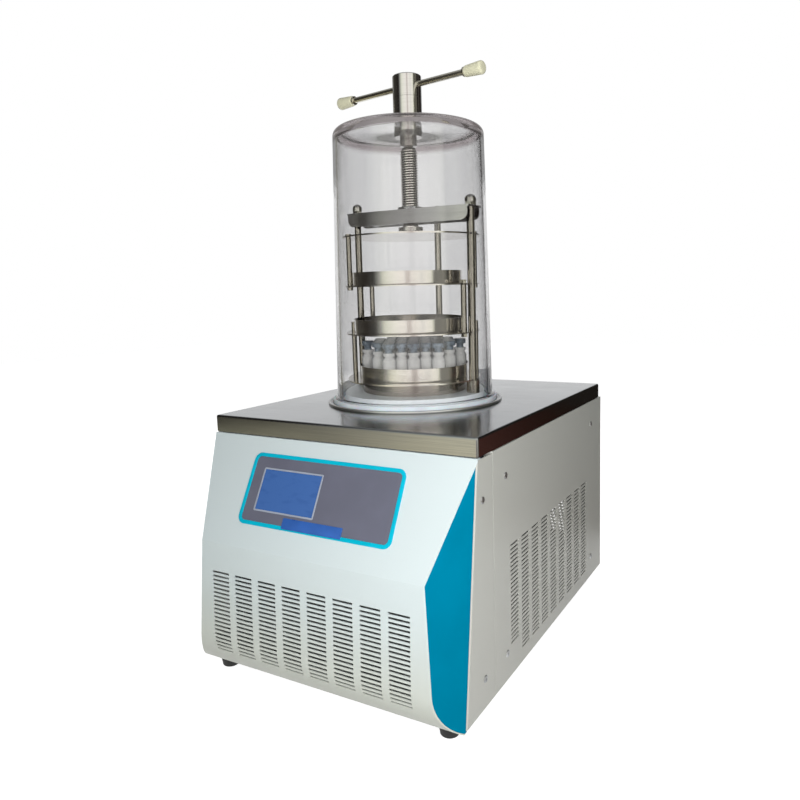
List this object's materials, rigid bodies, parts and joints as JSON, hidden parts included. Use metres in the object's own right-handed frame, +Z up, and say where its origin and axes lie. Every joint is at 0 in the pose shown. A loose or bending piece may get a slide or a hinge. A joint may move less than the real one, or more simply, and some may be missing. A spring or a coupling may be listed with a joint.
{
  "type": "stoppering freeze dryer",
  "caption": "Bench-top freeze dryer with a clear bell, hanging shelves and a hand-turned press that seats vial stoppers over a refrigerated cold trap.",
  "frame": {"origin": "middle of the footprint, on the bench surface under the feet", "axes": "+Z up, -Y to the front with the screen, +X to the machine's right-hand side as the user sees it"},
  "size_m": [0.4532, 0.6596, 0.916],
  "materials": {
    "white_paint": "smooth powder coat",
    "grey_paint": "smooth powder coat",
    "teal_paint": "satin",
    "teal_plastic": "satin",
    "overlay_grey": "matt film",
    "bezel_grey": "matt",
    "screen_blue": "gloss",
    "strip_blue": "gloss",
    "board_green": "matt",
    "stainless": "brushed",
    "polished": "polished steel",
    "galvanised": "zinc",
    "dark_steel": "black paint",
    "rubber": "matt",
    "silicone": "matt, translucent white",
    "clear": "clear, moulded",
    "vial_glass": "clear",
    "stopper_rubber": "matt",
    "cream_plastic": "satin",
    "screw_steel": "turned",
    "copper": "drawn tube",
    "foam": "rigid foam",
    "black_plastic": "matt",
    "red_plastic": "gloss",
    "brass_body": "machined"
  },
  "bodies": {
    "machine": {"base_pan": "galvanised", "frame": "dark_steel", "worktop": "stainless", "front_panel": "white_paint", "facet_left": "teal_paint", "facet_right": "teal_paint", "cheek_left": "grey_paint", "cheek_right": "grey_paint", "side_panel_left": "grey_paint", "side_panel_right": "grey_paint", "rear_panel": "grey_paint", "feet": "rubber", "panel_screws": "galvanised", "display_frame": "teal_plastic", "display_overlay": "overlay_grey", "screen_bezel": "bezel_grey", "screen": "screen_blue", "label_strip": "strip_blue", "controller_board": "board_green", "seat_ring": "polished", "gasket": "silicone", "bell": "clear", "gland": "polished", "shaft_seals": "rubber", "rack_base": "polished", "vapour_guide": "polished", "columns": "polished", "cap_nuts": "polished", "crossbar": "stainless", "bar_nut": "stainless", "lower_guides": "polished", "shelf_bottom": "polished", "tray_bottom": "polished", "vials": "vial_glass", "cold_trap": "stainless", "evaporator_coil": "copper", "trap_insulation": "foam", "compressor": "dark_steel", "condenser": "galvanised", "fan_mount": "galvanised", "refrigerant_lines": "copper", "drain_valve": "brass_body", "power_inlet": "black_plastic"},
    "handle": {"drive_shaft": "screw_steel", "handle_head": "polished", "t_bar": "screw_steel", "knobs": "cream_plastic"},
    "press_rack": {"thrust_collar": "screw_steel", "press_disc": "polished", "upper_hangers": "polished", "middle_hangers": "polished", "shelf_top": "polished", "shelf_middle": "polished", "tray_top": "polished", "tray_middle": "polished"},
    "screw": {"press_screw": "screw_steel"},
    "stopper_set": {"stoppers": "stopper_rubber"},
    "fan": {"fan_rotor": "black_plastic"},
    "drain_lever": {"valve_lever": "red_plastic"},
    "rocker": {"power_rocker": "red_plastic"}
  },
  "joints": [
    {"name": "handle_turn", "type": "hinge", "parent": "machine", "child": "handle", "pos_m": [-0.009, -0.00325, 0.9005], "axis": [0, 0, -1], "range_deg": [0, 1800]},
    {"name": "press_travel", "type": "slide", "parent": "machine", "child": "press_rack", "axis": [0, 0, -1], "range_m": [0, 0.02]},
    {"name": "screw_spin", "type": "hinge", "parent": "press_rack", "child": "screw", "pos_m": [-0.009, -0.00325, 0.7], "axis": [0, 0, -1], "range_deg": [0, 1801]},
    {"name": "stopper_push", "type": "slide", "parent": "machine", "child": "stopper_set", "axis": [0, 0, -1], "range_m": [0, 0.0063]},
    {"name": "fan_spin", "type": "hinge", "parent": "machine", "child": "fan", "pos_m": [0, -0.21825, 0.112], "axis": [0, 1, 0], "continuous": true},
    {"name": "drain_lever_turn", "type": "hinge", "parent": "machine", "child": "drain_lever", "pos_m": [-0.13, 0.31175, 0.099], "axis": [0, 0, 1], "range_deg": [0, 90]},
    {"name": "rocker_tip", "type": "hinge", "parent": "machine", "child": "rocker", "pos_m": [-0.13, 0.30375, 0.184], "axis": [-1, 0, 0], "range_deg": [0, 18]}
  ],
  "couplings": [
    {"joint": "press_travel", "follows": "handle_turn", "m_per_rad": 0.0006366},
    {"joint": "screw_spin", "follows": "handle_turn", "ratio": 1},
    {"joint": "stopper_push", "follows": "handle_turn", "m_per_rad": 0.0002}
  ]
}
